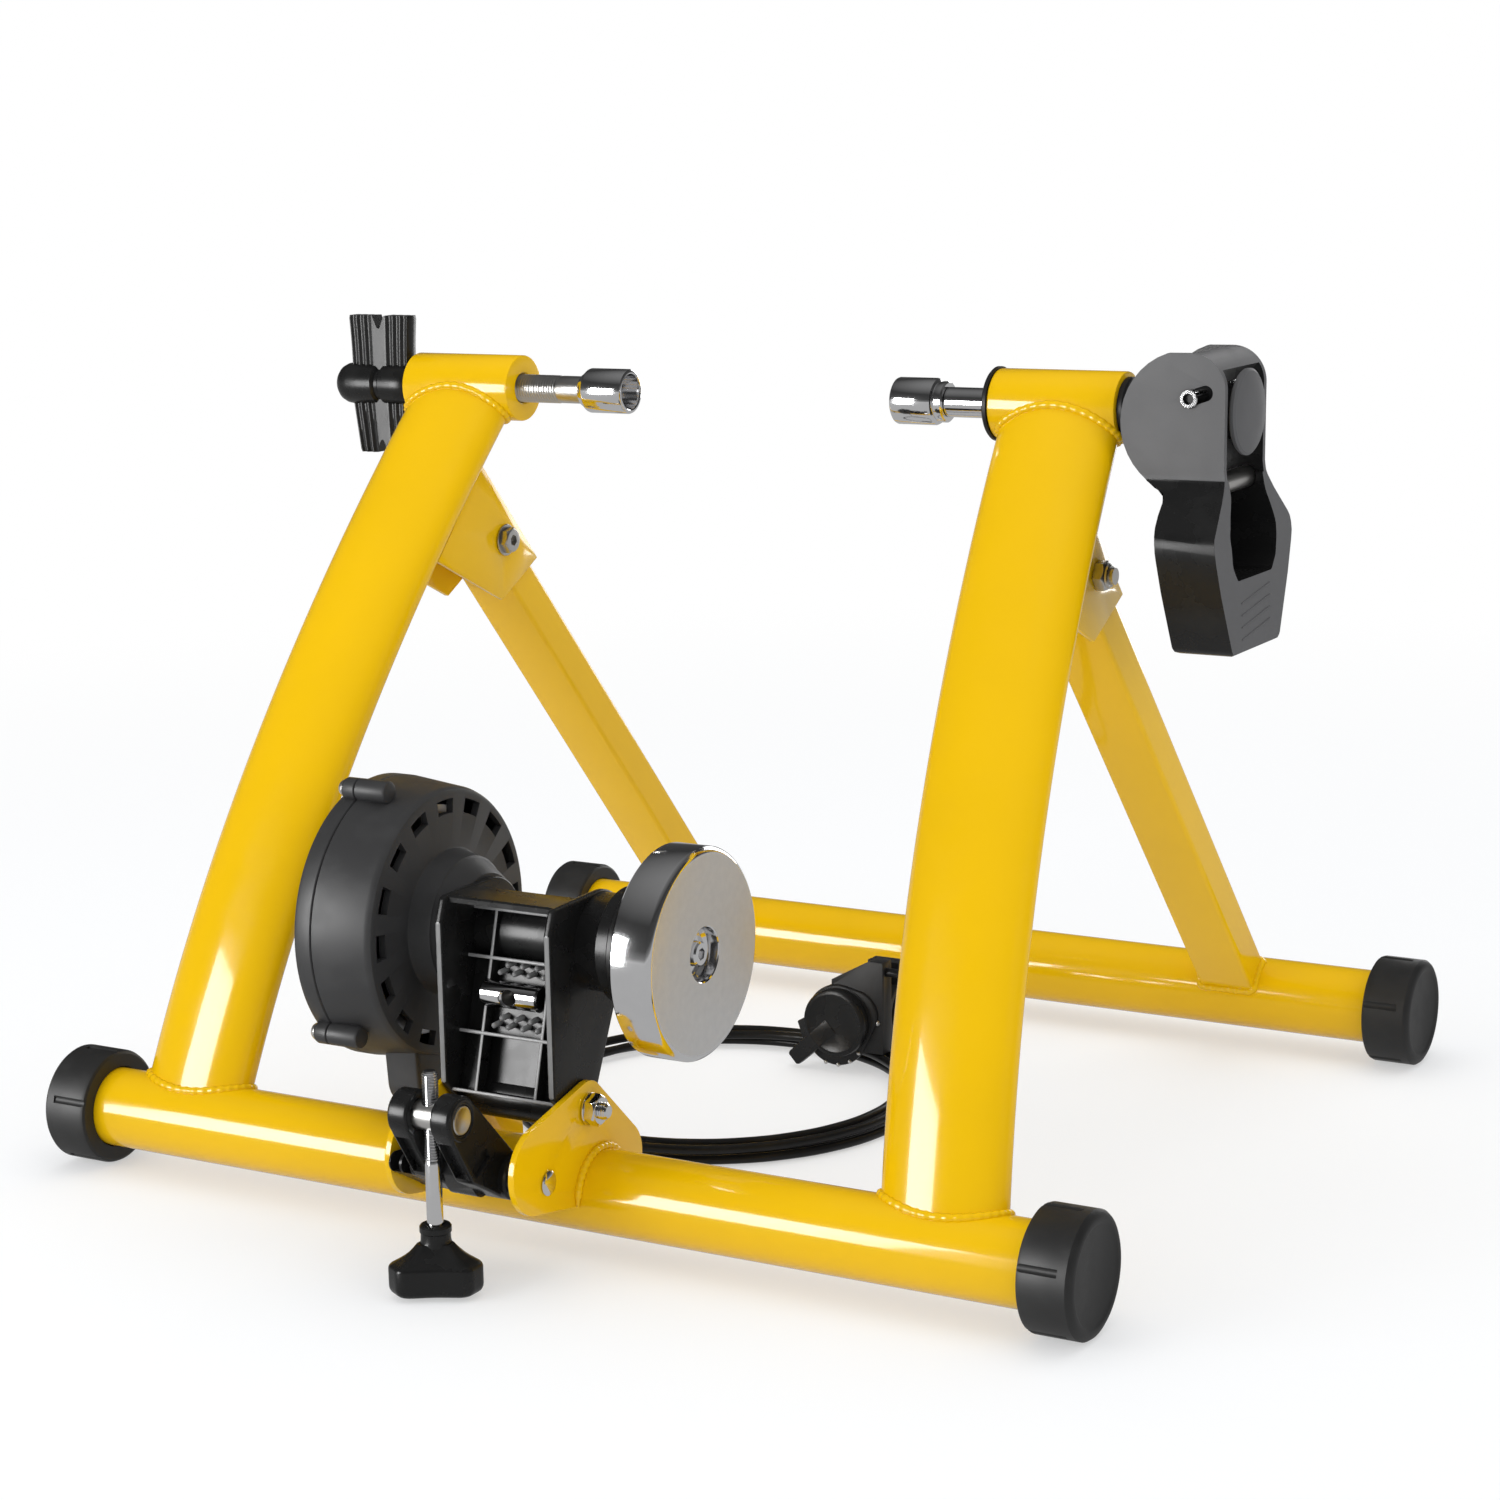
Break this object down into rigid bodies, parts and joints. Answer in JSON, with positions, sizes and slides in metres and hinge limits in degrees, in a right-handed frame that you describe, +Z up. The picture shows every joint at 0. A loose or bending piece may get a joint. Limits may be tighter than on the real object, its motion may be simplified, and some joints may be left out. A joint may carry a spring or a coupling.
{
  "type": "wheel-on turbo trainer",
  "caption": "Folding steel bicycle trainer stand with axle clamps, a cam lever, a tilting magnetic resistance unit with roller and flywheel, and a cabled bar shifter.",
  "frame": {"origin": "on the floor, at the centre of the stand's footprint without its cable", "axes": "+X along the foot tubes towards the cam lever, +Y from the front tube, which carries the resistance unit, to the rear tube, +Z up"},
  "size_m": [0.54, 0.5564, 0.396],
  "materials": {
    "yellow_paint": "glossy yellow powder coat",
    "cap_rubber": "moulded black rubber, satin",
    "chrome": "bright chrome plating",
    "zinc_steel": "bright zinc-plated steel",
    "black_plastic": "satin black moulded plastic",
    "cable_sheath": "smooth black plastic sheath",
    "lever_grey": "fine-textured mid-grey moulding",
    "rotor_aluminium": "plain aluminium disc"
  },
  "bodies": {
    "front_frame": {"front_foot_tube": "yellow_paint", "front_cap_left": "cap_rubber", "front_cap_right": "cap_rubber", "left_leg": "yellow_paint", "right_leg": "yellow_paint", "left_axle_sleeve": "yellow_paint", "right_axle_sleeve": "yellow_paint", "right_sleeve_bush": "black_plastic", "left_fold_bracket": "yellow_paint", "right_fold_bracket": "yellow_paint", "left_fold_bolt": "zinc_steel", "left_fold_nut": "zinc_steel", "right_fold_bolt": "zinc_steel", "right_fold_nut": "zinc_steel", "unit_lug_left": "yellow_paint", "unit_lug_right": "yellow_paint", "unit_pivot_bolt": "zinc_steel", "unit_pivot_nut": "zinc_steel", "clevis_pivot_pin": "zinc_steel", "release_yoke": "black_plastic", "lever_pin": "chrome", "shifter_body": "black_plastic", "shifter_clamp": "black_plastic", "shifter_clamp_screw": "zinc_steel", "cable_coil": "cable_sheath", "cable_to_unit": "cable_sheath", "cable_to_shifter": "cable_sheath"},
    "rear_frame": {"rear_foot_tube": "yellow_paint", "rear_cap_left": "cap_rubber", "rear_cap_right": "cap_rubber", "rear_left_leg": "yellow_paint", "rear_right_leg": "yellow_paint"},
    "left_cup_slider": {"left_cup": "chrome"},
    "left_screw": {"left_spindle": "zinc_steel", "left_spindle_knob": "black_plastic"},
    "right_clamp": {"right_spindle": "chrome", "right_cup": "chrome"},
    "release_lever": {"cam_lever": "lever_grey", "lever_cross_pin": "chrome"},
    "resistance_unit": {"unit_arm": "black_plastic", "unit_barrel_nut": "chrome", "unit_housing": "black_plastic", "unit_cover": "black_plastic", "cover_screw_1": "zinc_steel", "cover_screw_2": "zinc_steel", "cover_screw_3": "zinc_steel", "bearing_left": "zinc_steel", "bearing_right": "zinc_steel", "cable_gland": "cable_sheath"},
    "rotor": {"roller_shaft": "zinc_steel", "roller": "zinc_steel", "flywheel": "chrome", "flywheel_bolt": "zinc_steel", "rotor_disc": "rotor_aluminium"},
    "magnet_carrier": {"magnet_plate": "zinc_steel"},
    "adjuster_fork": {"adjuster_clevis": "black_plastic"},
    "adjuster_swivel": {"adjuster_barrel": "chrome"},
    "adjuster_screw": {"adjuster_rod": "zinc_steel"},
    "adjuster_grip": {"adjuster_knob": "black_plastic"},
    "shift_control": {"shifter_lever": "black_plastic"}
  },
  "joints": [
    {"name": "rear_frame_fold", "type": "hinge", "parent": "front_frame", "child": "rear_frame", "pos_m": [0, 0.0207, 0.284], "axis": [1, 0, 0], "range_deg": [-70, 0]},
    {"name": "left_cup_slide", "type": "slide", "parent": "front_frame", "child": "left_cup_slider", "axis": [1, 0, 0], "range_m": [-0.03, 0.003]},
    {"name": "left_spindle_turn", "type": "hinge", "parent": "left_cup_slider", "child": "left_screw", "pos_m": [-0.15, 0.0223, 0.361], "axis": [1, 0, 0], "range_deg": [-4300, 430]},
    {"name": "cam_lever_turn", "type": "hinge", "parent": "front_frame", "child": "release_lever", "pos_m": [0.2346, 0.0223, 0.3684], "axis": [0, -1, 0], "range_deg": [0, 70]},
    {"name": "right_cup_slide", "type": "slide", "parent": "front_frame", "child": "right_clamp", "axis": [1, 0, 0], "range_m": [0, 0.012]},
    {"name": "unit_tilt", "type": "hinge", "parent": "front_frame", "child": "resistance_unit", "pos_m": [0, -0.1893, 0.0675], "axis": [1, 0, 0], "range_deg": [0, 50]},
    {"name": "roller_spin", "type": "hinge", "parent": "resistance_unit", "child": "rotor", "pos_m": [0, -0.1696, 0.1385], "axis": [1, 0, 0], "continuous": true},
    {"name": "magnet_turn", "type": "hinge", "parent": "resistance_unit", "child": "magnet_carrier", "pos_m": [-0.08, -0.1696, 0.1385], "axis": [1, 0, 0], "range_deg": [0, 40]},
    {"name": "adjuster_fork_swing", "type": "hinge", "parent": "front_frame", "child": "adjuster_fork", "pos_m": [-0.005, -0.2233, 0.0435], "axis": [1, 0, 0], "range_deg": [-25, 0]},
    {"name": "adjuster_barrel_turn", "type": "hinge", "parent": "adjuster_fork", "child": "adjuster_swivel", "pos_m": [-0.005, -0.2583, 0.079], "axis": [1, 0, 0], "range_deg": [-80, 0]},
    {"name": "adjuster_rod_slide", "type": "slide", "parent": "adjuster_swivel", "child": "adjuster_screw", "axis": [0, 0, 1], "range_m": [0, 0.0123]},
    {"name": "adjuster_knob_turn", "type": "hinge", "parent": "adjuster_screw", "child": "adjuster_grip", "pos_m": [-0.005, -0.2583, 0.02], "axis": [0, 0, 1], "range_deg": [0, 3500]},
    {"name": "shift_lever_turn", "type": "hinge", "parent": "front_frame", "child": "shift_control", "pos_m": [-0.003, 0.1067, 0.0265], "axis": [0, 1, 0], "range_deg": [0, 80]}
  ],
  "couplings": [
    {"joint": "left_cup_slide", "follows": "left_spindle_turn", "m_per_rad": 0.00039789},
    {"joint": "right_cup_slide", "follows": "cam_lever_turn", "m_per_rad": 0.0098},
    {"joint": "magnet_turn", "follows": "shift_lever_turn", "ratio": 0.5},
    {"joint": "adjuster_rod_slide", "follows": "adjuster_knob_turn", "m_per_rad": 0.00019894}
  ]
}
